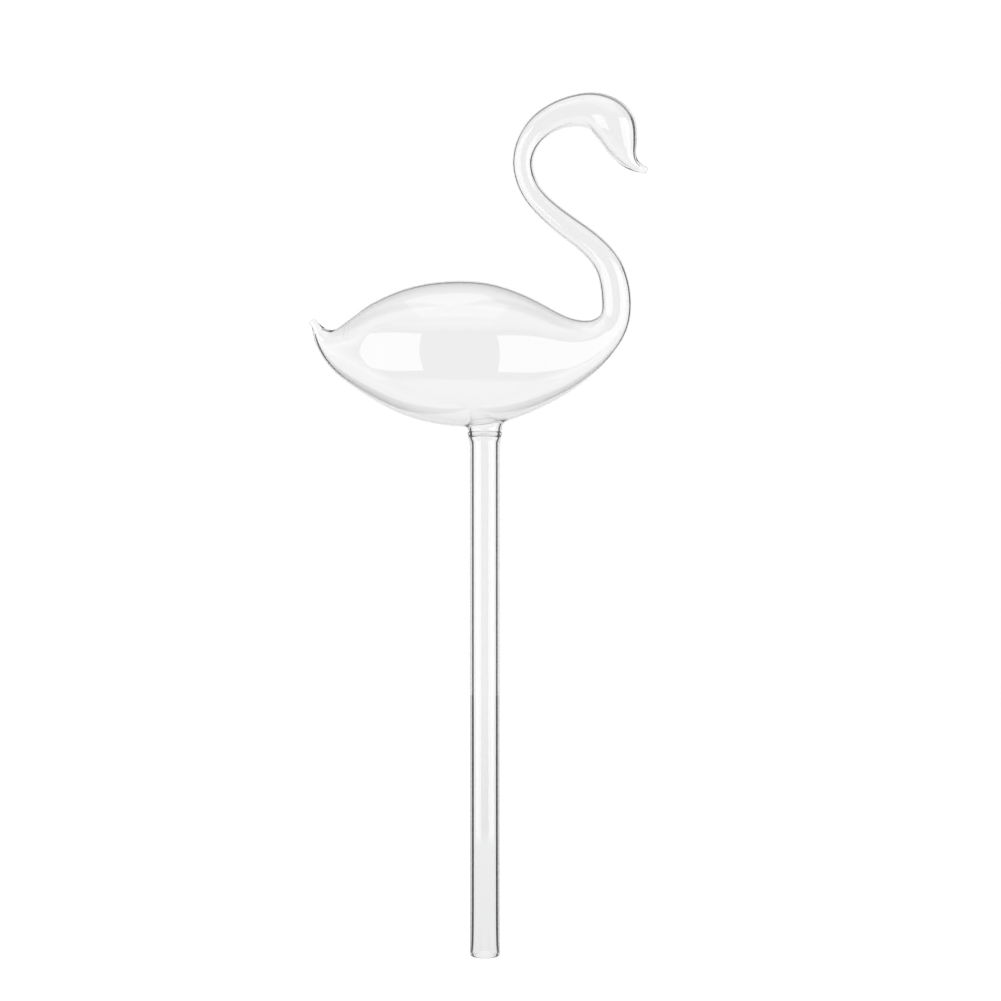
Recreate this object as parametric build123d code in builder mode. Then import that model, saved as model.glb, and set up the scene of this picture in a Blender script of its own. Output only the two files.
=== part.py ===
from build123d import *
from math import cos, radians, sin
import os

# A self watering globe of clear blown glass, in the shape of a swan on a long hollow stem.
# Millimetres. The origin is at the middle of the stem's open lower end, +Z runs up the stem
# and +X points the way the beak does. The two sides of the XZ plane are alike.

# Stem
stem_length = 163.7
stem_radius = 4.65
stem_wall = 1.15
stem_rim_round = 0.5
flare_height = 1.9
flare_radius = 5.15
flare_bend = 2.5

# Weld ring, which is as wide inside as the top of the stem
ring_height = 1.4
ring_radius = 5.4
ring_round = 0.6
throat_radius = 4.2

# Body
body_length = 68.2
body_radius = 22.7
body_wall = 0.7
body_set_back = 44.0        # from the stem's axis back to the root of the tail
collar_height = 1.6         # from the weld ring up to the lowest line of the body
collar_radius = 5.3
collar_fillet = 1.2

# Tail
tail_length = 9.8
tail_bead_radius = 1.25

# Neck
neck_height = 75.8
neck_root_radius = 4.7
neck_wall = 0.8

# Head and beak
head_length = 15.0
head_radius = 6.8
head_wall = 0.8
beak_length = 6.8
beak_bead_radius = 1.15

# Sections of the tail, from the bead to the body: set back and rise as shares of the tail's
# length, radius as a share of the body's, slope of the run in degrees, and how much is hollow
tail_shares = [
    (0.955, 0.800, 0.050, -56, 0.20),
    (0.895, 0.705, 0.060, -56, 0.36),
    (0.785, 0.505, 0.099, -54, 0.54),
    (0.635, 0.325, 0.151, -43, 0.68),
    (0.470, 0.200, 0.215, -29, 0.79),
    (0.270, 0.090, 0.298, -17, 0.87),
]
tail_bead_shares = (0.995, 0.870)

# Sections of the body: place along its length, then rise and radius as shares of its radius,
# and slope in degrees
body_shares = [
    (0.000, 0.072, 0.392, -8),
    (0.048, 0.050, 0.500, -3),
    (0.108, 0.037, 0.624, 0),
    (0.182, 0.030, 0.746, 0),
    (0.264, 0.022, 0.856, 0),
    (0.356, 0.014, 0.938, 0),
    (0.448, 0.007, 0.983, 0),
    (0.545, 0.000, 1.000, 0),
    (0.646, -0.006, 0.985, 0),
    (0.747, -0.010, 0.914, 0),
    (0.844, -0.017, 0.807, 0),
    (0.926, -0.022, 0.685, 0),
    (1.000, -0.014, 0.566, 2),
]

# Sections of the breast, which narrows and turns up into the neck: reach and rise as shares
# of the neck's height, radius as a share of the neck's at its root, and slope in degrees
breast_shares = [
    (0.072, 0.019, 2.10, 9),
    (0.134, 0.048, 1.62, 20),
    (0.175, 0.083, 1.28, 36),
    (0.203, 0.120, 1.08, 53),
]

# Sections of the neck in the same shares
neck_shares = [
    (0.214, 0.142, 1.030, 63),
    (0.222, 0.181, 1.000, 78),
    (0.222, 0.236, 1.000, 89),
    (0.214, 0.296, 0.966, 98),
    (0.192, 0.364, 0.913, 114),
    (0.149, 0.422, 0.852, 130),
    (0.091, 0.476, 0.812, 138),
    (0.021, 0.527, 0.779, 143),
    (-0.043, 0.579, 0.732, 141),
    (-0.101, 0.635, 0.691, 131),
    (-0.140, 0.693, 0.671, 115),
    (-0.160, 0.757, 0.671, 98),
    (-0.161, 0.813, 0.685, 82),
    (-0.142, 0.871, 0.738, 66),
    (-0.107, 0.922, 0.819, 50),
    (-0.058, 0.962, 0.886, 34),
    (0.000, 0.988, 0.966, 18),
]

# Sections of the head: reach and rise as shares of its length, radius as a share of the
# head's, and slope in degrees
head_shares = [
    (0.000, 0.000, 0.722, 8),
    (0.210, 0.019, 0.782, 0),
    (0.409, -0.002, 0.852, -16),
    (0.590, -0.068, 0.938, -34),
    (0.745, -0.182, 1.015, -51),
    (0.862, -0.350, 1.000, -62),
    (0.939, -0.547, 0.870, -67),
]

# Sections of the beak: reach and rise as shares of its length, radius as a share of the
# head's, slope in degrees, and how much is hollow
beak_shares = [
    (0.000, 0.000, 0.708, -68, 0.83),
    (0.134, -0.350, 0.532, -64, 0.77),
    (0.309, -0.631, 0.389, -57, 0.68),
    (0.530, -0.834, 0.285, -45, 0.55),
    (0.779, -0.959, 0.208, -30, 0.36),
    (0.930, -1.005, 0.172, -18, 0.20),
]
beak_bead_shares = (1.010, -1.022)

# Where the head starts, in shares of the neck's height from its start, and where the beak
# starts, in shares of the head's length from its own start
head_start_shares = (0.050, 1.000)
beak_start_shares = (1.000, -0.750)

# Where the pieces meet
ring_top = stem_length + ring_height
body_middle = ring_top + collar_height + body_radius
tail_root_z = body_middle + body_radius * body_shares[0][1]
neck_start_x = body_length * body_shares[-1][0] - body_set_back
neck_start_z = body_middle + body_radius * body_shares[-1][1]
head_start_x = neck_start_x + neck_height * head_start_shares[0]
head_start_z = neck_start_z + neck_height * head_start_shares[1]
beak_start_x = head_start_x + head_length * beak_start_shares[0]
beak_start_z = head_start_z + head_length * beak_start_shares[1]
bore_radius = stem_radius - stem_wall


# A round section of the swan: the plane that it lies in, its radius and that of the hollow.
# The way the glass runs there is given by its slope.
def section(x, z, radius, slope, hollow_radius):
    run = (cos(radians(slope)), 0, sin(radians(slope)))
    plane = Plane(origin=(x, 0, z), x_dir=(0, 1, 0), z_dir=run)
    return plane, radius, hollow_radius


tail_sections = []
for back, rise, size, slope, hollow in tail_shares:
    radius = body_radius * size
    tail_sections.append(section(-body_set_back - tail_length * back, tail_root_z + tail_length * rise,
                                 radius, slope, radius * hollow))

body_sections = []
for along, rise, size, slope in body_shares:
    radius = body_radius * size
    body_sections.append(section(body_length * along - body_set_back, body_middle + body_radius * rise,
                                 radius, slope, radius - body_wall))

neck_sections = []
for reach, rise, size, slope in breast_shares + neck_shares:
    radius = neck_root_radius * size
    neck_sections.append(section(neck_start_x + neck_height * reach, neck_start_z + neck_height * rise,
                                 radius, slope, radius - neck_wall))

head_sections = []
for reach, rise, size, slope in head_shares:
    radius = head_radius * size
    head_sections.append(section(head_start_x + head_length * reach, head_start_z + head_length * rise,
                                 radius, slope, radius - head_wall))

beak_sections = []
for reach, rise, size, slope, hollow in beak_shares:
    radius = head_radius * size
    beak_sections.append(section(beak_start_x + beak_length * reach, beak_start_z + beak_length * rise,
                                 radius, slope, radius * hollow))

# Neighbouring pieces share the section where they meet
root_section = neck_sections[len(breast_shares)]
tail_run = tail_sections + body_sections[:1]
breast_run = body_sections[-1:] + neck_sections[:len(breast_shares)] + [root_section]
neck_run = neck_sections[len(breast_shares):] + head_sections[:1]
head_run = head_sections + beak_sections[:1]


# Solid between the round sections of a run, as wide as the glass or as its hollow
def skin(run, hollow=False):
    with BuildPart() as solid:
        for plane, radius, hollow_radius in run:
            with BuildSketch(plane):
                Circle(hollow_radius if hollow else radius)
        loft()
    return solid.part


# Stem, a drawn tube with a flared top and a fire-polished foot
with BuildPart() as stem_tube:
    with BuildSketch(Plane.XZ) as stem_wall_sketch:
        with BuildLine():
            Polyline((bore_radius, 0), (stem_radius, 0),
                     (stem_radius, stem_length - flare_height), (flare_radius, stem_length),
                     (throat_radius, stem_length), (bore_radius, stem_length - flare_height), close=True)
        make_face()
        fillet(stem_wall_sketch.vertices().group_by(Axis.Y)[0], stem_rim_round)
        fillet(stem_wall_sketch.vertices().group_by(Axis.Y)[-2], flare_bend)
    revolve(axis=Axis.Z)

# Ring of melted glass that welds the stem to the collar
with BuildPart() as weld_ring:
    with BuildSketch(Plane.XZ) as ring_sketch:
        with Locations(((throat_radius + ring_radius) / 2, stem_length + ring_height / 2)):
            Rectangle(ring_radius - throat_radius, ring_height)
        fillet(ring_sketch.vertices().group_by(Axis.X)[-1], ring_round)
    revolve(axis=Axis.Z)

# Hollow of the body and the breast
with BuildPart() as body_hollow:
    add(skin(body_sections, hollow=True))
    add(skin(breast_run, hollow=True))

# Body and breast. The collar was pulled down from the body and turns into it with a soft
# fillet, and the throat runs through it into the stem.
with BuildPart() as body_bulb:
    add(skin(body_sections))
    add(skin(breast_run))
    with BuildSketch(Plane.XY.offset(ring_top)):
        Circle(collar_radius)
    extrude(amount=collar_height + body_radius)
    fillet(body_bulb.edges().filter_by(GeomType.BSPLINE).sort_by(Axis.Z)[0], collar_fillet)
    add(body_hollow.part, mode=Mode.SUBTRACT)
    with BuildSketch(Plane.XY.offset(ring_top)):
        Circle(throat_radius)
    extrude(amount=collar_height + body_radius, mode=Mode.SUBTRACT)

# Tail, pulled off and curled up, with a bead at its tip
with BuildPart() as tail_tip:
    add(skin(tail_run))
    with Locations((-body_set_back - tail_length * tail_bead_shares[0], 0,
                    tail_root_z + tail_length * tail_bead_shares[1])):
        Sphere(tail_bead_radius)
    add(skin(tail_run, hollow=True), mode=Mode.SUBTRACT)

# Neck
with BuildPart() as neck_tube:
    add(skin(neck_run))
    add(skin(neck_run, hollow=True), mode=Mode.SUBTRACT)

# Head
with BuildPart() as head_bulb:
    add(skin(head_run))
    add(skin(head_run, hollow=True), mode=Mode.SUBTRACT)

# Beak, pulled and bent forward, with a bead at its tip
with BuildPart() as beak_tip:
    add(skin(beak_sections))
    with Locations((beak_start_x + beak_length * beak_bead_shares[0], 0,
                    beak_start_z + beak_length * beak_bead_shares[1])):
        Sphere(beak_bead_radius)
    add(skin(beak_sections, hollow=True), mode=Mode.SUBTRACT)

# Each piece in its own file
pieces = {
    "stem_tube": stem_tube,
    "weld_ring": weld_ring,
    "body_bulb": body_bulb,
    "tail_tip": tail_tip,
    "neck_tube": neck_tube,
    "head_bulb": head_bulb,
    "beak_tip": beak_tip,
}
os.makedirs("parts", exist_ok=True)
for name, piece in pieces.items():
    piece.part.label = name
    export_step(piece.part, f"parts/{name}.step")
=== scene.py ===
from math import atan, atan2, cos, degrees, hypot, pi, radians, sin
import bpy
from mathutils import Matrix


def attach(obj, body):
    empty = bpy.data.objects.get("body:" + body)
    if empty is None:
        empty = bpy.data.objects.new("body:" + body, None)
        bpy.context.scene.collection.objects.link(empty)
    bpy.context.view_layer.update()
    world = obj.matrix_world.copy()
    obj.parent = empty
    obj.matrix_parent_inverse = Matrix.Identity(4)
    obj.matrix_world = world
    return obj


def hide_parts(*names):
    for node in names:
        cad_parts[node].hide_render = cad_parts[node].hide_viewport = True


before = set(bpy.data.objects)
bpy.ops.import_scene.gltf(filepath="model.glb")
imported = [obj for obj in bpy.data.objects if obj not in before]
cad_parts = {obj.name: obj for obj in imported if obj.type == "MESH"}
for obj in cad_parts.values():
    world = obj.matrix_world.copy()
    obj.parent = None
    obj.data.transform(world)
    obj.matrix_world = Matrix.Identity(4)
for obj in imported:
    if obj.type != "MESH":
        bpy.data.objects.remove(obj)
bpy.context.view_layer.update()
print("frame loaded")

mm = 0.001


def deselectAll():
    if bpy.context.object and bpy.context.object.mode == "EDIT":
        bpy.ops.object.mode_set(mode="OBJECT")
    bpy.ops.object.select_all(action="DESELECT")


# Gives a socket a fixed value or another node's output
def feed(tree, socket, value):
    if isinstance(value, (int, float)):
        socket.default_value = value
    elif value is not None:
        tree.links.new(value, socket)


def mathNode(tree, operation, first, second=None, clamp=False):
    node = tree.nodes.new("ShaderNodeMath")
    node.operation = operation
    node.use_clamp = clamp
    for socket, value in zip(node.inputs, (first, second)):
        feed(tree, socket, value)
    return node.outputs[0]


def mixNode(tree, share, low, high):
    node = tree.nodes.new("ShaderNodeMix")
    node.data_type = "FLOAT"
    for k, value in ((0, share), (2, low), (3, high)):
        feed(tree, node.inputs[k], value)
    return node.outputs[0]


# Goes from 0 to 1 as the value rises past a place, or from 1 to 0 where the sharpness is negative
def ramp(tree, value, place, sharpness):
    return mathNode(tree, "MULTIPLY", mathNode(tree, "SUBTRACT", value, place), sharpness, clamp=True)


# Height of the blown surface, for the bump of every glass
blown = {
    "waveScale": 70,
    "waveHeight": 1.0,
    "lineStretch": (900, 900, 14),      # drawn out along the stem
    "lineHeight": 0.12,
    "seedScale": 110,
    "seedEdge": (0.10, 0.03),           # outside and inside of a seed, in cells
    "seedHeight": 0.2,
}


def blownGroup():
    group = bpy.data.node_groups.new("blownGlass", "ShaderNodeTree")
    for title in ("Ripple", "Draw Lines", "Seeds"):
        group.interface.new_socket(title, in_out="INPUT", socket_type="NodeSocketFloat")
    group.interface.new_socket("Height", in_out="OUTPUT", socket_type="NodeSocketFloat")
    nodes, links = group.nodes, group.links
    start, end = nodes.new("NodeGroupInput"), nodes.new("NodeGroupOutput")
    place = nodes.new("ShaderNodeTexCoord")
    wave = nodes.new("ShaderNodeTexNoise")              # slow ripples
    wave.inputs["Scale"].default_value = blown["waveScale"]
    wave.inputs["Detail"].default_value = 1.0
    links.new(place.outputs["Object"], wave.inputs["Vector"])
    stretch = nodes.new("ShaderNodeMapping")            # fine lines from drawing the tube
    stretch.inputs["Scale"].default_value = blown["lineStretch"]
    links.new(place.outputs["Object"], stretch.inputs["Vector"])
    line = nodes.new("ShaderNodeTexNoise")
    line.inputs["Scale"].default_value = 1.0
    line.inputs["Detail"].default_value = 1.0
    links.new(stretch.outputs["Vector"], line.inputs["Vector"])
    seed = nodes.new("ShaderNodeTexVoronoi")            # tiny bubbles
    seed.inputs["Scale"].default_value = blown["seedScale"]
    links.new(place.outputs["Object"], seed.inputs["Vector"])
    dot = nodes.new("ShaderNodeMapRange")
    dot.interpolation_type = "SMOOTHSTEP"
    dot.inputs["From Min"].default_value, dot.inputs["From Max"].default_value = blown["seedEdge"]
    links.new(seed.outputs["Distance"], dot.inputs["Value"])
    height = 0.0
    for title, texture, size in (("Ripple", wave.outputs["Fac"], blown["waveHeight"]),
                                 ("Draw Lines", line.outputs["Fac"], blown["lineHeight"]),
                                 ("Seeds", dot.outputs["Result"], blown["seedHeight"])):
        share = mathNode(group, "MULTIPLY", texture, start.outputs[title])
        height = mathNode(group, "ADD", mathNode(group, "MULTIPLY", share, size), height)
    links.new(height, end.inputs["Height"])
    return group


# Clear glass, with how much ripple, draw lines and seeds each kind has
glass = {
    "ior": 1.47,
    "tint": (0.988, 0.989, 0.989, 1),
    "bump": 0.06,
    "bumpDepth": 0.0002,    # m
    "bulbGlass": (0.4, 0.0, 0.2),
    "stemGlass": (0.1, 0.25, 0.1),
    "weldGlass": (0.8, 0.0, 0.2),
}


def glassMaterial(name):
    material = bpy.data.materials.new(name)
    material.use_nodes = True
    nodes, links = material.node_tree.nodes, material.node_tree.links
    shader = nodes["Principled BSDF"]
    shader.inputs["Base Color"].default_value = glass["tint"]
    shader.inputs["Transmission Weight"].default_value = 1.0
    shader.inputs["Roughness"].default_value = 0.0
    shader.inputs["IOR"].default_value = glass["ior"]
    surface = nodes.new("ShaderNodeGroup")
    surface.node_tree = blownGlass
    for title, value in zip(("Ripple", "Draw Lines", "Seeds"), glass[name]):
        surface.inputs[title].default_value = value
    bump = nodes.new("ShaderNodeBump")
    bump.inputs["Strength"].default_value = glass["bump"]
    bump.inputs["Distance"].default_value = glass["bumpDepth"]
    links.new(surface.outputs["Height"], bump.inputs["Height"])
    links.new(bump.outputs["Normal"], shader.inputs["Normal"])
    return material


blownGlass = blownGroup()
bulbGlass = glassMaterial("bulbGlass")
stemGlass = glassMaterial("stemGlass")
weldGlass = glassMaterial("weldGlass")
seamClear = bpy.data.materials.new("seamClear")     # for faces inside the glass, where two pieces are one
seamClear.use_nodes = True
seamClear.node_tree.nodes["Principled BSDF"].inputs["Alpha"].default_value = 0.0
print("materials made")

# How finely the glass is divided
mesh = {
    "around": 96,           # faces round a section
    "step": 1.0,            # mm between sections
    "lip": 0.06,            # mm from a seam to the section beside it, so that no line shows there
    "merge": 0.002,         # mm, closer points become one
    "smooth": 50,           # degrees, up to which an edge is shaded smooth
}


# The row that lies a share of the way from row to row, on a smooth curve near the rows
def rowAt(rows, place):
    i = min(int(place), len(rows) - 2)
    t = place - i
    pull = [(1 - t) ** 3, 3 * t ** 3 - 6 * t ** 2 + 4, -3 * t ** 3 + 3 * t ** 2 + 3 * t + 1, t ** 3]
    guides = [guideAt(rows, k) for k in range(i - 1, i + 3)]
    return tuple(sum(share / 6 * value for share, value in zip(pull, values)) for values in zip(*guides))


# The rows are pushed out a little, so that the smooth curve goes through them
def guideAt(rows, k):
    last = len(rows) - 1
    if k < 0:
        return [2 * a - b for a, b in zip(guideAt(rows, 0), guideAt(rows, 1))]
    if k > last:
        return [2 * a - b for a, b in zip(guideAt(rows, last), guideAt(rows, last - 1))]
    if k in (0, last):
        return rows[k]
    return [b - (a - 2 * b + c) / 6 for a, b, c in zip(rows[k - 1], rows[k], rows[k + 1])]


# Distance from a row to the next one, in mm
def spanAfter(rows, k):
    return hypot(rows[k + 1][0] - rows[k][0], rows[k + 1][1] - rows[k][1])


# Rows of one piece, close together, with a further row beside each seam
def pieceRows(rows, first, final):
    places = []
    for k in range(first, final):
        parts = max(2, round(spanAfter(rows, k) / mesh["step"]))
        places += [k + j / parts for j in range(parts)]
    places.append(final)
    if first > 0:
        places.insert(1, first + mesh["lip"] / spanAfter(rows, first))
    if final < len(rows) - 1:
        places.insert(-1, final - mesh["lip"] / spanAfter(rows, final - 1))
    return [rowAt(rows, place) for place in places]


# Section of the glass at a row: place, radius and slope
def skinOf(row):
    return row[:4]


# Section of the hollow at a row
def hollowOf(row):
    x, z, radius, slope, wall, lean = row
    a = radians(slope)
    return (x - lean * sin(a), z + lean * cos(a), radius - wall, slope)


# A ring of edges at the first section, pulled out from section to section
def pullGlass(name, sections):
    deselectAll()
    x, z, radius, slope = sections[0]
    bpy.ops.mesh.primitive_circle_add(vertices=mesh["around"], radius=radius * mm, location=(x * mm, 0, z * mm),
                                      rotation=(0, pi / 2 - radians(slope), 0))
    piece = bpy.context.object
    piece.name = piece.data.name = name
    bpy.ops.object.transform_apply(location=True, rotation=True, scale=True)
    bpy.ops.object.mode_set(mode="EDIT")
    bpy.ops.mesh.select_all(action="SELECT")
    for (x, z, radius, slope), (nextX, nextZ, nextRadius, nextSlope) in zip(sections, sections[1:]):
        here = (nextX * mm, 0, nextZ * mm)
        bpy.ops.mesh.extrude_region_move(TRANSFORM_OT_translate={"value": ((nextX - x) * mm, 0, (nextZ - z) * mm)})
        if nextRadius != radius:
            grow = nextRadius / radius
            bpy.ops.transform.resize(value=(grow, grow, grow), center_override=here)
        if nextSlope != slope:
            bpy.ops.transform.rotate(value=radians(nextSlope - slope), orient_axis="Y", center_override=here)
    return piece


# Selects the points near a place on the middle plane
def selectNear(piece, spot, reach):
    bpy.ops.object.mode_set(mode="OBJECT")
    for v in piece.data.vertices:
        v.select = hypot(v.co.x - spot[0] * mm, v.co.y, v.co.z - spot[1] * mm) < reach * mm
    bpy.ops.object.mode_set(mode="EDIT")
    bpy.ops.mesh.select_mode(type="VERT")


# Clears the flat faces at a section where the piece is one with its neighbour
def clearSeam(piece, section):
    x, z, radius, slope = section
    a = radians(slope)
    for face in piece.data.polygons:
        spots = [piece.data.vertices[v].co for v in face.vertices]
        if all(abs((p.x - x * mm) * cos(a) + (p.z - z * mm) * sin(a)) < mesh["merge"] * mm
               and hypot(p.x - x * mm, p.y, p.z - z * mm) < (radius + 0.02) * mm for p in spots):
            face.material_index = 1


def finishGlass(piece, node, seams, skin):
    bpy.ops.object.mode_set(mode="EDIT")
    bpy.ops.mesh.select_all(action="SELECT")
    bpy.ops.mesh.remove_doubles(threshold=mesh["merge"] * mm)
    bpy.ops.mesh.normals_make_consistent(inside=False)
    bpy.ops.object.mode_set(mode="OBJECT")
    piece.data.materials.append(skin)
    piece.data.materials.append(seamClear)
    for section in seams:
        clearSeam(piece, section)
    bpy.ops.object.shade_smooth_by_angle(angle=radians(mesh["smooth"]))
    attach(piece, "root")
    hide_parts(node)
    print(piece.name, "made,", len(piece.data.polygons), "faces")


# The hollow swan is one run of glass, from the bead of the tail to the bead of the beak. Each row of the
# five pieces has a place (x, z), radius, slope in degrees, wall, and how far the hollow sits off the middle,
# to the left of the run, all in mm.
tail = {
    "name": "tail",
    "solidRows": 12,        # of the finely divided rows, how many at the tip have no hollow
    "rows": [
        (-53.95, 199.92, 0.12, -60, 0.06, 0.0),
        (-53.92, 199.84, 0.62, -60, 0.45, 0.0),
        (-53.76, 199.52, 1.08, -59, 0.85, 0.0),
        (-53.50, 199.10, 1.24, -58, 1.00, 0.0),
        (-53.10, 198.50, 1.22, -57, 0.98, 0.0),
        (-52.75, 198.01, 1.30, -56, 1.02, 0.0),
        (-51.68, 196.00, 2.26, -55, 1.00, 0.05),
        (-50.24, 194.24, 3.42, -43, 0.92, 0.10),
        (-48.61, 192.99, 4.89, -29, 0.82, 0.12),
        (-46.66, 191.92, 6.77, -17, 0.72, 0.10),
    ],
}
body = {
    "name": "body",
    "rows": [
        (-44.00, 191.05, 8.91, -8, 0.64, 0.06),
        (-40.71, 190.54, 11.35, -3, 0.60, 0.02),
        (-36.63, 190.26, 14.17, 0, 0.60, 0.0),
        (-31.61, 190.10, 16.93, 0, 0.62, 0.0),
        (-25.97, 189.92, 19.44, 0, 0.66, 0.0),
        (-19.69, 189.73, 21.29, 0, 0.68, 0.0),
        (-13.42, 189.57, 22.33, 0, 0.70, 0.0),
        (-6.84, 189.41, 22.70, 0, 0.70, 0.0),
        (0.06, 189.29, 22.36, 0, 0.70, 0.0),
        (6.96, 189.19, 20.76, 0, 0.70, 0.0),
        (13.55, 189.04, 18.31, 0, 0.70, 0.0),
        (19.19, 188.91, 15.55, 0, 0.70, 0.0),
        (24.21, 189.10, 12.86, 2, 0.68, 0.0),
        (29.70, 190.54, 9.82, 9, 0.62, 0.0),
        (34.21, 192.55, 7.62, 17, 0.56, 0.0),
        (36.97, 194.78, 6.21, 29, 0.52, 0.0),
        (39.14, 197.25, 5.30, 46, 0.50, 0.0),
    ],
}
neck = {
    "name": "neck",
    "rows": [
        (40.45, 199.89, 4.80, 63, 0.52, 0.0),
        (41.05, 202.84, 4.67, 78, 0.56, 0.0),
        (41.02, 206.98, 4.67, 89, 0.60, 0.0),
        (40.39, 211.52, 4.52, 98, 0.58, 0.04),
        (38.73, 216.70, 4.26, 114, 0.58, 0.08),
        (35.50, 221.09, 3.98, 130, 0.60, 0.12),
        (31.11, 225.16, 3.79, 138, 0.60, 0.14),
        (25.78, 229.05, 3.64, 143, 0.60, 0.15),
        (20.92, 232.94, 3.42, 141, 0.60, 0.15),
        (16.53, 237.21, 3.23, 131, 0.62, 0.16),
        (13.61, 241.63, 3.14, 115, 0.64, 0.17),
        (12.07, 246.49, 3.14, 98, 0.66, 0.17),
        (12.04, 250.72, 3.20, 82, 0.66, 0.14),
        (13.42, 255.08, 3.45, 66, 0.62, 0.08),
        (16.12, 258.97, 3.83, 50, 0.56, 0.0),
        (19.82, 261.98, 4.14, 34, 0.52, -0.04),
        (24.21, 263.99, 4.52, 18, 0.50, -0.06),
    ],
}
head = {
    "name": "head",
    "rows": [
        (27.97, 264.87, 4.89, 8, 0.50, -0.06),
        (31.11, 265.15, 5.30, 0, 0.52, -0.08),
        (34.09, 264.80, 5.74, -16, 0.58, -0.12),
        (36.75, 263.77, 6.27, -34, 0.66, -0.18),
        (39.04, 262.04, 6.77, -51, 0.76, -0.28),
        (40.83, 259.60, 6.71, -62, 0.82, -0.32),
        (42.02, 256.68, 5.90, -67, 0.86, -0.28),
    ],
}
beak = {
    "name": "beak",
    "solidRows": 10,
    "rows": [
        (42.93, 253.64, 4.80, -68, 0.88, -0.20),
        (43.84, 251.26, 3.61, -64, 0.94, 0.0),
        (45.03, 249.34, 2.63, -57, 0.98, 0.0),
        (46.54, 247.96, 1.91, -45, 0.95, 0.0),
        (48.23, 247.12, 1.38, -30, 0.90, 0.0),
        (48.90, 246.86, 1.22, -22, 0.90, 0.0),
        (49.55, 246.66, 1.17, -16, 0.95, 0.0),
        (50.10, 246.54, 1.06, -12, 0.85, 0.0),
        (50.56, 246.46, 0.66, -10, 0.48, 0.0),
        (50.70, 246.44, 0.12, -10, 0.06, 0.0),
    ],
}
rows = tail["rows"] + body["rows"] + neck["rows"] + head["rows"] + beak["rows"]
bodyStart = len(tail["rows"])
neckStart = bodyStart + len(body["rows"])
headStart = neckStart + len(neck["rows"])
beakStart = headStart + len(head["rows"])


# A tube that is open at both ends: along the outside, and back along the hollow
def tubeLoop(outer):
    return [skinOf(r) for r in outer] + [hollowOf(r) for r in reversed(outer)] + [skinOf(outer[0])]


# Tail: from its bead along the outside to the body, and back along the hollow
outer = pieceRows(rows, 0, bodyStart)
hollow = [hollowOf(r) for r in outer[tail["solidRows"]:]]
tailPiece = pullGlass(tail["name"], [skinOf(r) for r in outer] + hollow[::-1])
bpy.ops.mesh.edge_face_add()                        # end of the hollow
selectNear(tailPiece, outer[0], 0.14)
bpy.ops.mesh.edge_face_add()                        # tip of the bead
finishGlass(tailPiece, "tail_tip", [skinOf(outer[-1])], bulbGlass)

# Neck and head
for part, first, final, node in ((neck, neckStart, headStart, "neck_tube"), (head, headStart, beakStart, "head_bulb")):
    outer = pieceRows(rows, first, final)
    tube = pullGlass(part["name"], tubeLoop(outer))
    finishGlass(tube, node, [skinOf(outer[0]), skinOf(outer[-1])], bulbGlass)

# Beak: along its hollow to the head, and back along the outside to its bead
outer = pieceRows(rows, beakStart, len(rows) - 1)
hollow = [hollowOf(r) for r in outer[:-beak["solidRows"]]]
beakPiece = pullGlass(beak["name"], hollow[::-1] + [skinOf(r) for r in outer])
bpy.ops.mesh.edge_face_add()                        # tip of the bead
deepest = hollowOf(outer[-beak["solidRows"] - 1])
selectNear(beakPiece, deepest, deepest[2] + 0.02)
bpy.ops.mesh.edge_face_add()                        # end of the hollow
finishGlass(beakPiece, "beak_tip", [skinOf(outer[0])], bulbGlass)
print("tail, neck, head and beak made")

# The collar, pulled down from the body round the stem's axis, in mm. Each course has a radius, and draws the
# rim towards a height by the share that is left of its rise and fall.
collar = {
    "along": 6.6,           # reach along the body, for the faces that it takes
    "round": 17.2,          # degrees round the body, from its lowest line
    "bodyMiddle": 189.3,
    "top": 175.0,
    "foot": 165.1,
    "rim": 7.0,
    "outside": [(6.3, 166.4, 0.85), (5.8, 166.0, 0.70), (5.5, 165.7, 0.60), (5.36, 165.5, 0.50), (5.3, 165.3, 0.30),
                (5.22, 165.18, 0.3), (5.06, 165.12, 0.0), (4.88, 165.1, 0.0)],
    "hollowRim": 6.6,
    "inside": [(6.0, 166.9, 0.90), (5.4, 166.5, 0.78), (4.95, 166.2, 0.68), (4.65, 165.9, 0.58), (4.46, 165.7, 0.48),
               (4.34, 165.5, 0.38), (4.26, 165.3, 0.28), (4.2, 165.1, 0.0)],
    "seam": (0, 165.1, 4.88, 90),
}


# Height of the underside of the body over a point, in mm, outside or in the hollow
def undersideAt(sections, x, y, inHollow):
    for a, b in zip(sections, sections[1:]):
        if a[0] <= x <= b[0]:
            t = (x - a[0]) / (b[0] - a[0])
            middle, radius, wall = (a[k] + t * (b[k] - a[k]) for k in (1, 2, 4))
            return middle - ((radius - wall * inHollow) ** 2 - y ** 2) ** 0.5


def selectRims():
    bpy.ops.mesh.select_all(action="DESELECT")
    bpy.ops.mesh.select_non_manifold(extend=False, use_wire=False, use_boundary=True, use_multi_face=False,
                                     use_non_contiguous=False, use_verts=False)


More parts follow.
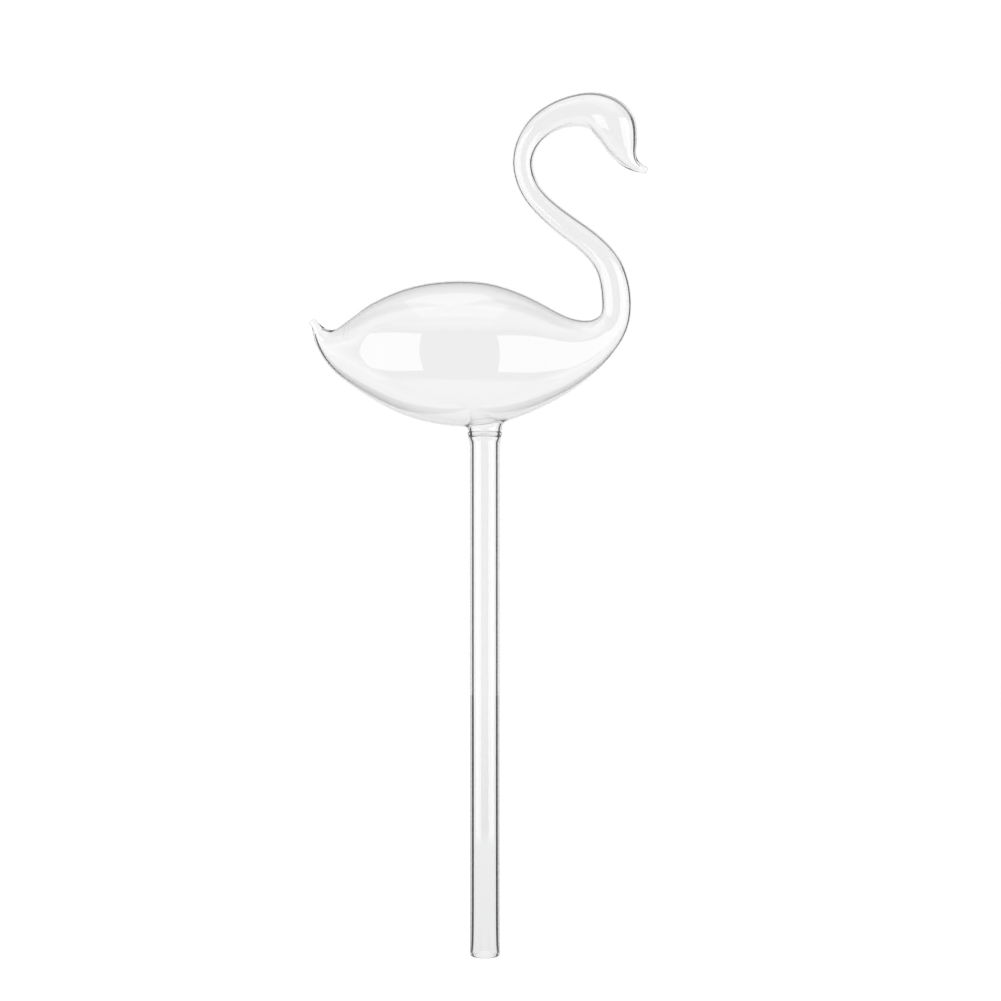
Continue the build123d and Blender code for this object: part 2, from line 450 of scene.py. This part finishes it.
# Makes the open rim of the outside or the hollow round, and draws it down to the collar's foot
def drawRim(piece, sections, inHollow, rim, courses):
    selectRims()
    bpy.ops.object.mode_set(mode="OBJECT")
    onRims = [v for v in piece.data.vertices if v.select]
    for v in onRims:
        v.select = v.co.z > (collar["foot"] + 0.1) * mm and (v.normal.z > 0) == inHollow
    for v in onRims:
        if v.select:
            turn = rim / hypot(v.co.x / mm, v.co.y / mm)
            v.co.x, v.co.y = v.co.x * turn, v.co.y * turn
            v.co.z = undersideAt(sections, v.co.x / mm, v.co.y / mm, inHollow) * mm
    for edge in piece.data.edges:
        edge.select = all(piece.data.vertices[k].select for k in edge.vertices)
    for face in piece.data.polygons:
        face.select = False
    bpy.ops.object.mode_set(mode="EDIT")
    for radius, height, keep in courses:
        bpy.ops.mesh.extrude_region_move()
        bpy.ops.transform.resize(value=(radius / rim, radius / rim, keep), center_override=(0, 0, height * mm))
        rim = radius


def pullCollar(piece, sections):
    bpy.ops.mesh.select_all(action="SELECT")
    bpy.ops.mesh.remove_doubles(threshold=mesh["merge"] * mm)
    bpy.ops.mesh.normals_make_consistent(inside=False)
    bpy.ops.mesh.select_mode(type="FACE")
    bpy.ops.mesh.select_all(action="DESELECT")
    bpy.ops.object.mode_set(mode="OBJECT")
    for face in piece.data.polygons:
        x, y, z = face.center / mm
        turned = degrees(atan2(y, collar["bodyMiddle"] - z))
        face.select = abs(x) < collar["along"] and z < collar["top"] and abs(turned) < collar["round"]
    bpy.ops.object.mode_set(mode="EDIT")
    bpy.ops.mesh.delete(type="FACE")
    bpy.ops.mesh.select_mode(type="EDGE")
    drawRim(piece, sections, False, collar["rim"], collar["outside"])
    drawRim(piece, sections, True, collar["hollowRim"], collar["inside"])
    selectRims()
    bpy.ops.mesh.bridge_edge_loops()


# Body and breast
outer = pieceRows(rows, bodyStart, neckStart)
bodyPiece = pullGlass(body["name"], tubeLoop(outer))
pullCollar(bodyPiece, outer)
finishGlass(bodyPiece, "body_bulb", [skinOf(outer[0]), skinOf(outer[-1]), collar["seam"]], bulbGlass)
print("body and collar made")

# The stem, a drawn tube: radius and height of each section, in mm, outside upwards and inside downwards
stem = {
    "name": "stem",
    "outside": [(4.06, 0.06), (4.28, 0.00), (4.46, 0.10), (4.60, 0.30), (4.65, 0.60), (4.65, 1.2)],
    "top": [(4.65, 160.0), (4.66, 161.2), (4.74, 161.9), (4.92, 162.6), (5.12, 163.10), (5.18, 163.34),
            (5.14, 163.54), (5.02, 163.66), (4.88, 163.70)],
    "throat": [(4.20, 163.70), (4.16, 163.40), (4.02, 162.9), (3.80, 162.3), (3.60, 161.7), (3.51, 160.9),
               (3.50, 160.0)],
    "foot": [(3.50, 1.2), (3.50, 0.60), (3.56, 0.30), (3.70, 0.12), (3.88, 0.03)],
    "courses": 24,          # along the straight part
    "seam": (0, 163.70, 4.88, 90),
}
low, high = stem["outside"][-1][1], stem["top"][0][1]
rise = [low + (high - low) * k / stem["courses"] for k in range(1, stem["courses"])]
loop = (stem["outside"] + [(stem["top"][0][0], z) for z in rise] + stem["top"] + stem["throat"]
        + [(stem["foot"][0][0], z) for z in reversed(rise)] + stem["foot"] + stem["outside"][:1])
stemPiece = pullGlass(stem["name"], [(0, z, radius, 90) for radius, z in loop])
finishGlass(stemPiece, "stem_tube", [stem["seam"]], stemGlass)

# The bead of melted glass between the stem and the collar: radius and height, in mm
weld = {
    "name": "weld",
    "sections": [(4.20, 163.70), (4.88, 163.70), (5.08, 163.76), (5.30, 163.94), (5.42, 164.24), (5.42, 164.56),
                 (5.30, 164.86), (5.08, 165.04), (4.88, 165.10), (4.20, 165.10), (4.10, 164.80), (4.06, 164.40),
                 (4.10, 164.00)],
}
loop = weld["sections"] + weld["sections"][:1]
weldPiece = pullGlass(weld["name"], [(0, z, radius, 90) for radius, z in loop])
finishGlass(weldPiece, "weld_ring", [stem["seam"], collar["seam"]], weldGlass)
print("stem and weld made")

# Camera, in mm, level with the swan's body
view = {
    "target": (4.92, 0.0, 143.5),
    "eyeHeight": 173.0,
    "distance": 767.0,
    "lens": 88.15,
}
deselectAll()
bpy.ops.object.camera_add()
camera = bpy.context.object
camera.location = (view["target"][0] * mm, -view["distance"] * mm, view["eyeHeight"] * mm)
tilt = atan((view["eyeHeight"] - view["target"][2]) / view["distance"])
camera.rotation_euler = (pi / 2 - tilt, 0, 0)
camera.data.lens = view["lens"]
camera.data.sensor_width = 36
camera.data.clip_start = 0.01
bpy.context.scene.camera = camera

# Dark cards that stand between the axes, all round, and give the glass its dark lines
cards = {
    "middle": 45.0,         # degrees from the axes
    "half": 18.0,           # degrees, half of a card's width
    "sharpness": 30,
}


# Mask of the cards, by the direction or place that it is given
def cardGroup():
    group = bpy.data.node_groups.new("darkCards", "ShaderNodeTree")
    group.interface.new_socket("Direction", in_out="INPUT", socket_type="NodeSocketVector")
    group.interface.new_socket("Mask", in_out="OUTPUT", socket_type="NodeSocketFloat")
    start, end = group.nodes.new("NodeGroupInput"), group.nodes.new("NodeGroupOutput")
    split = group.nodes.new("ShaderNodeSeparateXYZ")
    group.links.new(start.outputs["Direction"], split.inputs[0])
    turn = mathNode(group, "ARCTAN2", split.outputs["Y"], split.outputs["X"])
    fold = mathNode(group, "PINGPONG", turn, pi / 4)            # 0 on the axes, 45 degrees between them
    off = mathNode(group, "ABSOLUTE", mathNode(group, "SUBTRACT", fold, radians(cards["middle"])))
    group.links.new(ramp(group, off, radians(cards["half"]), -cards["sharpness"]), end.inputs["Mask"])
    return group


darkCards = cardGroup()


# The cards' mask and the three parts of a direction or place, in a node tree
def cardsAndParts(tree, coordinate):
    mask = tree.nodes.new("ShaderNodeGroup")
    mask.node_tree = darkCards
    split = tree.nodes.new("ShaderNodeSeparateXYZ")
    tree.links.new(coordinate, mask.inputs["Direction"])
    tree.links.new(coordinate, split.inputs[0])
    return mask.outputs["Mask"], split.outputs["Y"], split.outputs["Z"]


# World: white to the camera and through the glass. Reflections see a white backdrop with dark cards behind,
# and a dark room with a pale ceiling on the camera's side. Places are parts of a direction of length 1.
room = {
    "grey": 0.05,
    "backdropFrom": -0.35,      # how far forward the backdrop reaches
    "backdropTop": 0.40,        # height up to which it is white
    "backdropUpper": 0.36,      # its level above that
    "ceilingFrom": 0.62,
    "ceilingBack": 0.30,
    "ceiling": 0.42,
    "onMatt": 0.8,              # level of its light on matt surfaces
}
world = bpy.data.worlds.new("studioWorld")
bpy.context.scene.world = world
world.use_nodes = True
tree = world.node_tree
tree.nodes.clear()
path = tree.nodes.new("ShaderNodeLightPath")
where = tree.nodes.new("ShaderNodeTexCoord")
mask, ahead, up = cardsAndParts(tree, where.outputs["Generated"])
reflected = mathNode(tree, "GREATER_THAN", path.outputs["Glossy Depth"], 0.5)
behind = ramp(tree, ahead, room["backdropFrom"], 5)
low = ramp(tree, up, room["backdropTop"], -14)
white = mathNode(tree, "MULTIPLY", mathNode(tree, "MULTIPLY", behind, low), mathNode(tree, "SUBTRACT", 1, mask))
upper = mathNode(tree, "MULTIPLY", mathNode(tree, "MULTIPLY", behind, mathNode(tree, "SUBTRACT", 1, low)),
                 room["backdropUpper"])
overhead = mathNode(tree, "MULTIPLY", ramp(tree, up, room["ceilingFrom"], 12),
                    ramp(tree, ahead, room["ceilingBack"], -8))
ceiling = mathNode(tree, "MULTIPLY", overhead, room["ceiling"])
seen = mathNode(tree, "MAXIMUM", mathNode(tree, "MAXIMUM", white, upper),
                mathNode(tree, "MAXIMUM", ceiling, room["grey"]))
level = mixNode(tree, reflected, 1.0, seen)
level = mixNode(tree, path.outputs["Is Diffuse Ray"], level, room["onMatt"])
back = tree.nodes.new("ShaderNodeBackground")
back.inputs["Color"].default_value = (1, 1, 1, 1)
out = tree.nodes.new("ShaderNodeOutputWorld")
tree.links.new(level, back.inputs["Strength"])
tree.links.new(back.outputs[0], out.inputs[0])

# Floor: white, with a painted level of its own where it shows through the glass and in reflections: a glow in place of
# its lamp light, darker at the stem as painted shade. Reflections see a paler table on the camera's side, and past it
# to the dark room.
ground = {
    "name": "floor",
    "radius": 0.7,              # m
    "drop": 0.0002,             # m below the foot of the stem
    "colour": 0.5,
    "glow": 0.62,               # to the camera, on top of the lamps' light
    "paintedShadeAtFoot": 0.90,        # painted shade: the glow through the glass and in reflections, at the stem
    "paintedLightAtEdge": 1.0,         # painted light: the same glow at the floor's edge
    "table": 0.5,
    "tableReach": 0.2,          # m
    "shade": 0.15,              # behind the glass, in reflections
}
deselectAll()
bpy.ops.mesh.primitive_circle_add(vertices=96, radius=ground["radius"], fill_type="NGON",
                                  location=(0, 0, -ground["drop"]))
floor = bpy.context.object
floor.name = floor.data.name = ground["name"]
bpy.ops.object.transform_apply(location=True, rotation=True, scale=True)
floorPaint = bpy.data.materials.new("floorPaint")
floorPaint.use_nodes = True
floor.data.materials.append(floorPaint)
tree = floorPaint.node_tree
shader = tree.nodes["Principled BSDF"]
shader.inputs["Roughness"].default_value = 0.9
shader.inputs["Specular IOR Level"].default_value = 0.0
shader.inputs["Emission Color"].default_value = (1, 1, 1, 1)
path = tree.nodes.new("ShaderNodeLightPath")
where = tree.nodes.new("ShaderNodeTexCoord")
mask, ahead, up = cardsAndParts(tree, where.outputs["Object"])
reflected = mathNode(tree, "GREATER_THAN", path.outputs["Glossy Depth"], 0.5)
reach = tree.nodes.new("ShaderNodeVectorMath")
reach.operation = "LENGTH"
tree.links.new(where.outputs["Object"], reach.inputs[0])
behind = ramp(tree, ahead, -0.03, 30)
far = ramp(tree, reach.outputs["Value"], ground["tableReach"], 40)
shade = mixNode(tree, behind, 1 - ground["table"], mathNode(tree, "MAXIMUM", mask, ground["shade"]))
white = mathNode(tree, "SUBTRACT", 1, mathNode(tree, "MULTIPLY", shade, reflected))
through = mathNode(tree, "MAXIMUM", path.outputs["Is Transmission Ray"], path.outputs["Is Glossy Ray"])
toEdge = mathNode(tree, "MULTIPLY", reach.outputs["Value"], 1 / ground["radius"], clamp=True)
# Painted light and shade: through the glass and in reflections the floor is a glow, darker at the stem, not lit by the
# lamps
paintedGlowInGlass = mathNode(tree, "MULTIPLY", through, mixNode(tree, toEdge, ground["paintedShadeAtFoot"], ground["paintedLightAtEdge"]))
toCamera = mathNode(tree, "MULTIPLY", path.outputs["Is Camera Ray"], ground["glow"])
glow = mathNode(tree, "MAXIMUM", toCamera, paintedGlowInGlass)
tree.links.new(mathNode(tree, "MULTIPLY", glow, white), shader.inputs["Emission Strength"])
colour = mathNode(tree, "MULTIPLY", mathNode(tree, "MULTIPLY", white, ground["colour"]),
                  mathNode(tree, "SUBTRACT", 1, through))
paint = tree.nodes.new("ShaderNodeCombineXYZ")
for socket in paint.inputs:
    tree.links.new(colour, socket)
tree.links.new(paint.outputs[0], shader.inputs["Base Color"])
gone = mathNode(tree, "MULTIPLY", mathNode(tree, "MULTIPLY", far, mathNode(tree, "SUBTRACT", 1, behind)), reflected)
clear = tree.nodes.new("ShaderNodeBsdfTransparent")
both = tree.nodes.new("ShaderNodeMixShader")
tree.links.new(gone, both.inputs[0])
tree.links.new(shader.outputs[0], both.inputs[1])
tree.links.new(clear.outputs[0], both.inputs[2])
tree.links.new(both.outputs[0], tree.nodes["Material Output"].inputs["Surface"])

# Softboxes either side of the camera, and one overhead, turned to the middle of the body. Metres.
lampAim = 0.19
lamps = {
    "softboxLeft": {"at": (-0.77, -0.65, 0.19), "size": (0.80, 1.15), "radiance": 3.2},
    "softboxRight": {"at": (0.79, -0.66, 0.19), "size": (0.80, 1.15), "radiance": 3.2},
    "softboxTop": {"at": (0.0, -0.1, 1.15), "size": (0.9, 0.9), "radiance": 0.9},
}
for title, lamp in lamps.items():
    deselectAll()
    bpy.ops.object.light_add(type="AREA", location=lamp["at"])
    light = bpy.context.object
    light.name = title
    light.data.shape = "RECTANGLE"
    light.data.size, light.data.size_y = lamp["size"]
    light.data.energy = lamp["radiance"] * pi * lamp["size"][0] * lamp["size"][1]
    away = light.location.copy()
    away.z -= lampAim
    light.rotation_euler = away.to_track_quat("Z", "Y").to_euler()
    light.visible_camera = False
    light.visible_transmission = False

# Enough bounces for the many walls of glass
bpy.context.scene.cycles.transmission_bounces = 24
bpy.context.scene.cycles.max_bounces = 32
bpy.context.scene.cycles.transparent_max_bounces = 24
bpy.context.scene.view_settings.view_transform = "Standard"
print("studio made")
